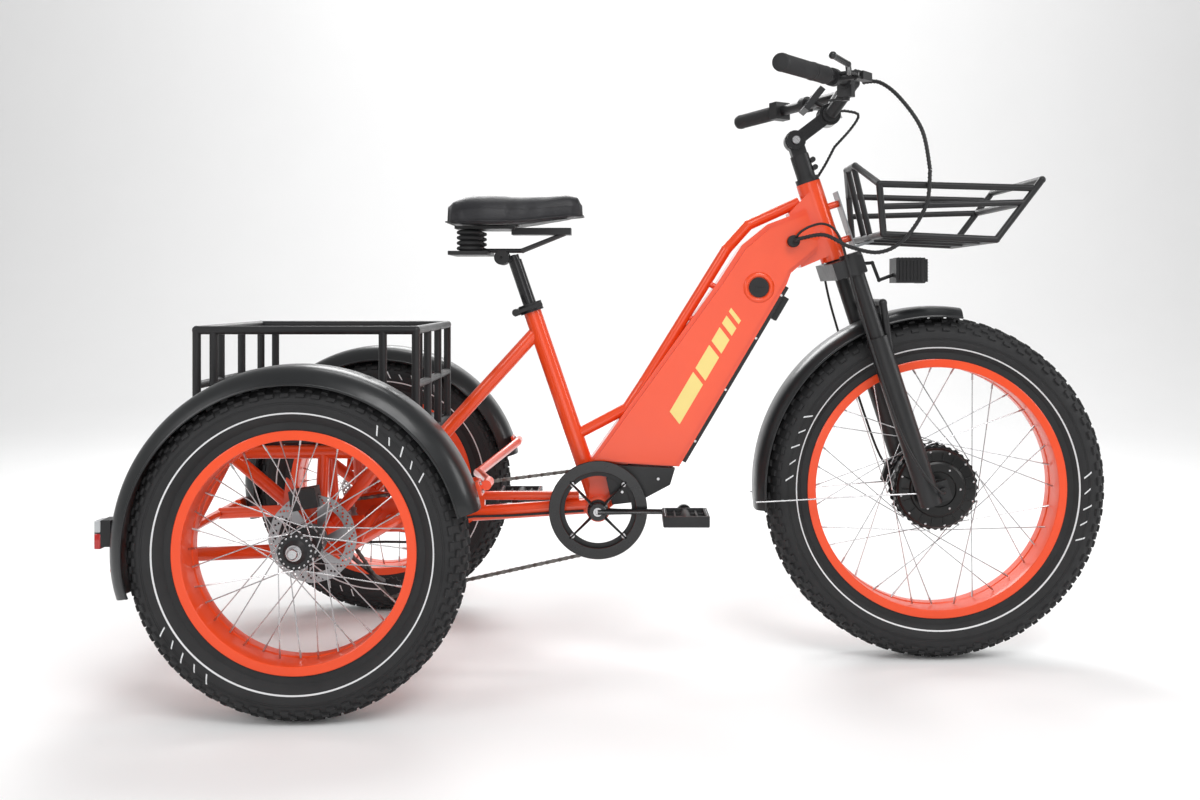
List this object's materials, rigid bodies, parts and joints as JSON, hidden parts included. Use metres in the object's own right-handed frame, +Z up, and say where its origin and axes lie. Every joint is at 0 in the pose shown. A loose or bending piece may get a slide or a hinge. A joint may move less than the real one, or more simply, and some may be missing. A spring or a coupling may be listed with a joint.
{
  "type": "adult tricycle",
  "caption": "Electric cargo tricycle with fat tyres, a motor in the front wheel, front and rear baskets, curved fenders, a low step-through frame and a wide sprung saddle.",
  "frame": {"origin": "on the ground, in the middle of the bounding box", "axes": "+X forward towards the front wheel, +Y to the rider's left, +Z up"},
  "size_m": [1.8825, 0.818, 1.1655],
  "materials": {
    "frame_paint": "gloss paint",
    "rim_paint": "satin paint",
    "black_metal": "satin black anodising and paint",
    "steel": "bright",
    "motor_case": "satin black paint",
    "tyre": "matt, with a thin reflective ring",
    "rubber": "matt",
    "plastic": "satin",
    "vinyl": "soft vinyl",
    "grey_metal": "satin",
    "lamp": "clear and red lenses in black housings",
    "chain": "oiled"
  },
  "bodies": {
    "frame": {"main_frame": "frame_paint", "rear_frame": "frame_paint", "battery_pack": "plastic", "charge_port_cover": "rubber", "controller_cover": "plastic", "bearings": "steel", "seat_clamp": "black_metal", "rear_basket": "black_metal", "rear_basket_floor": "plastic", "front_basket": "black_metal", "basket_bracket": "grey_metal", "right_rear_fender": "plastic", "left_rear_fender": "plastic", "tail_light": "lamp", "rear_calipers": "black_metal", "chain": "chain", "derailleur_body": "black_metal", "rear_hoses": "rubber", "fasteners": "steel", "harness_plug": "plastic", "frame_harness": "rubber"},
    "steering": {"fork_crown": "black_metal", "stem_base": "black_metal", "headlight": "lamp"},
    "fork_slider": {"fork_lowers": "black_metal", "front_fender": "plastic", "front_caliper": "black_metal"},
    "front_wheel": {"front_rim": "rim_paint", "front_tire": "tyre", "front_hub_motor": "motor_case", "front_spokes": "steel"},
    "cockpit": {"stem_arm": "black_metal", "handlebar": "black_metal", "grips": "rubber", "display": "plastic", "control_pods": "black_metal", "bar_harness": "rubber"},
    "right_brake_lever": {"right_brake_lever": "black_metal"},
    "left_brake_lever": {"left_brake_lever": "black_metal"},
    "throttle": {"throttle_grip": "rubber"},
    "shift_lever": {"shift_lever": "plastic"},
    "right_wheel": {"right_rear_rim": "rim_paint", "right_rear_tire": "tyre", "right_rear_hub": "black_metal", "right_rear_spokes": "steel"},
    "left_wheel": {"left_rear_rim": "rim_paint", "left_rear_tire": "tyre", "left_rear_hub": "black_metal", "left_rear_spokes": "steel"},
    "crank": {"crank_arms": "black_metal", "chainring": "black_metal"},
    "right_pedal": {"right_pedal": "black_metal"},
    "left_pedal": {"left_pedal": "black_metal"},
    "cassette": {"cassette": "steel"},
    "derailleur_cage": {"derailleur_cage": "black_metal"},
    "seat_post": {"seat_post": "black_metal"},
    "saddle": {"saddle_cover": "vinyl", "saddle_base": "black_metal", "saddle_springs": "rubber"},
    "seat_clamp_lever": {"seat_clamp_lever": "black_metal"}
  },
  "joints": [
    {"name": "steering", "type": "hinge", "parent": "frame", "child": "steering", "pos_m": [0.39475, 0, 0.80413], "axis": [-0.309, 0, 0.9511], "range_deg": [-45, 45], "deforming": ["frame_harness", "bar_harness"]},
    {"name": "fork_travel", "type": "slide", "parent": "steering", "child": "fork_slider", "axis": [-0.309, 0, 0.9511], "range_m": [0, 0.03], "stiffness_N_per_m": 12000, "springref_m": -0.03, "deforming": ["frame_harness"]},
    {"name": "front_wheel_spin", "type": "hinge", "parent": "fork_slider", "child": "front_wheel", "pos_m": [0.5965, 0, 0.345], "axis": [0, 1, 0], "continuous": true},
    {"name": "stem_tilt", "type": "hinge", "parent": "steering", "child": "cockpit", "pos_m": [0.31626, 0, 1.04569], "axis": [0, -1, 0], "range_deg": [-20, 30], "deforming": ["bar_harness"]},
    {"name": "right_brake_pull", "type": "hinge", "parent": "cockpit", "child": "right_brake_lever", "pos_m": [0.40277, -0.18743, 1.14608], "axis": [0.0228, 0.0351, -0.9991], "range_deg": [0, 14], "stiffness_Nm_per_rad": 0.6, "springref_deg": -8.59},
    {"name": "left_brake_pull", "type": "hinge", "parent": "cockpit", "child": "left_brake_lever", "pos_m": [0.40277, 0.18743, 1.14608], "axis": [-0.0228, 0.0351, 0.9991], "range_deg": [0, 14], "stiffness_Nm_per_rad": 0.6, "springref_deg": -8.59},
    {"name": "throttle_twist", "type": "hinge", "parent": "cockpit", "child": "throttle", "pos_m": [0.42094, -0.075, 1.15045], "axis": [-0.5442, -0.8379, -0.0419], "range_deg": [0, 60], "stiffness_Nm_per_rad": 0.2, "springref_deg": -5.73},
    {"name": "shift_push", "type": "hinge", "parent": "cockpit", "child": "shift_lever", "pos_m": [0.39936, -0.10823, 1.11676], "axis": [0.0228, 0.0351, -0.9991], "range_deg": [0, 25], "stiffness_Nm_per_rad": 0.2, "springref_deg": -5.73},
    {"name": "right_wheel_spin", "type": "hinge", "parent": "frame", "child": "right_wheel", "pos_m": [-0.5915, -0.35, 0.295], "axis": [0, 1, 0], "continuous": true},
    {"name": "left_wheel_spin", "type": "hinge", "parent": "frame", "child": "left_wheel", "pos_m": [-0.5915, 0.35, 0.295], "axis": [0, 1, 0], "continuous": true},
    {"name": "crank_spin", "type": "hinge", "parent": "frame", "child": "crank", "pos_m": [-0.0825, 0, 0.305], "axis": [0, 1, 0], "continuous": true},
    {"name": "right_pedal_spin", "type": "hinge", "parent": "crank", "child": "right_pedal", "pos_m": [0.0875, -0.128, 0.305], "axis": [0, 1, 0], "continuous": true},
    {"name": "left_pedal_spin", "type": "hinge", "parent": "crank", "child": "left_pedal", "pos_m": [-0.2525, 0.128, 0.305], "axis": [0, 1, 0], "continuous": true},
    {"name": "cassette_spin", "type": "hinge", "parent": "frame", "child": "cassette", "pos_m": [-0.5915, -0.045, 0.295], "axis": [0, 1, 0], "continuous": true},
    {"name": "cage_swing", "type": "hinge", "parent": "frame", "child": "derailleur_cage", "pos_m": [-0.5935, -0.045, 0.236], "axis": [0, 1, 0], "range_deg": [-10, 12], "stiffness_Nm_per_rad": 1.2, "deforming": ["chain"]},
    {"name": "seat_height", "type": "slide", "parent": "frame", "child": "seat_post", "axis": [-0.3239, 0, 0.9461], "range_m": [-0.06, 0.05]},
    {"name": "saddle_tilt", "type": "hinge", "parent": "seat_post", "child": "saddle", "pos_m": [-0.27823, 0, 0.80876], "axis": [0, 1, 0], "range_deg": [-8, 8]},
    {"name": "seat_clamp_turn", "type": "hinge", "parent": "frame", "child": "seat_clamp_lever", "pos_m": [-0.24855, 0, 0.69737], "axis": [0, 1, 0], "range_deg": [0, 90]}
  ],
  "couplings": [
    {"joint": "cassette_spin", "follows": "crank_spin", "ratio": 3.0357}
  ]
}
